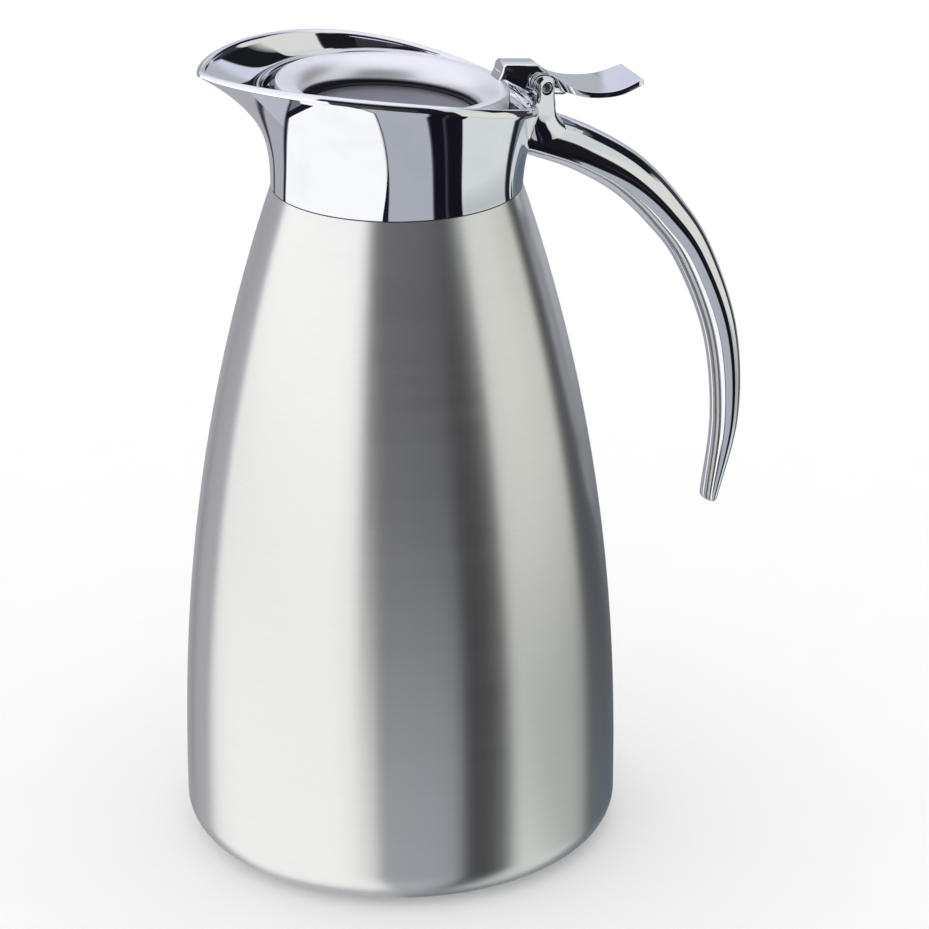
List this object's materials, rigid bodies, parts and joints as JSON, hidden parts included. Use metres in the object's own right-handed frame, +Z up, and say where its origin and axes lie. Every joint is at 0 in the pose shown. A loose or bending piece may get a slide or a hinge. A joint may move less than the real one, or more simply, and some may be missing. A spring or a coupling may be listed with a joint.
{
  "type": "thermal carafe",
  "caption": "Double-walled steel carafe with a flared pouring collar, an open bow handle and a sprung flip lid worked by a thumb lever.",
  "frame": {"origin": "middle of the flat ring it stands on, on the body's axis", "axes": "+Z up along the body's axis, +X towards the handle and the hinge, spout along -X, hinge axis along Y"},
  "size_m": [0.1745, 0.13, 0.2405],
  "materials": {
    "body_steel": "fine brushing round the body, satin",
    "base_steel": "plain drawn steel, satin",
    "flask_steel": "electropolished inside of the flask",
    "getter_metal": "dull grey metal",
    "black_seal": "matt black",
    "chrome": "bright polished chrome plate",
    "black_plastic": "moulded, fine grain",
    "silicone": "translucent white silicone",
    "ring_steel": "polished steel ring",
    "screw_steel": "plain steel fasteners",
    "pin_steel": "turned steel, dark ends",
    "spring_steel": "drawn spring wire",
    "foam": "rigid foam"
  },
  "bodies": {
    "carafe": {"outer_shell": "body_steel", "base_plate": "base_steel", "inner_flask": "flask_steel", "getter": "getter_metal", "vacuum_seal": "getter_metal", "base_cap": "base_steel", "collar_seal": "black_seal", "spout_collar": "chrome", "neck_ring": "black_plastic", "neck_gasket": "silicone", "seat_ring": "ring_steel", "handle": "chrome", "handle_screws": "screw_steel", "hinge_pin": "pin_steel", "return_spring": "spring_steel"},
    "lid": {"thumb_lever": "chrome", "lid_cap": "chrome", "lid_stopper": "black_plastic", "lid_insulation": "foam", "lid_gasket": "silicone", "lid_screws": "screw_steel"}
  },
  "joints": [
    {"name": "lid_hinge", "type": "hinge", "parent": "carafe", "child": "lid", "pos_m": [0.0431, 0, 0.2277], "axis": [0, 1, 0], "range_deg": [0, 30], "stiffness_Nm_per_rad": 0.03, "springref_deg": -34.38, "deforming": ["return_spring"]}
  ]
}
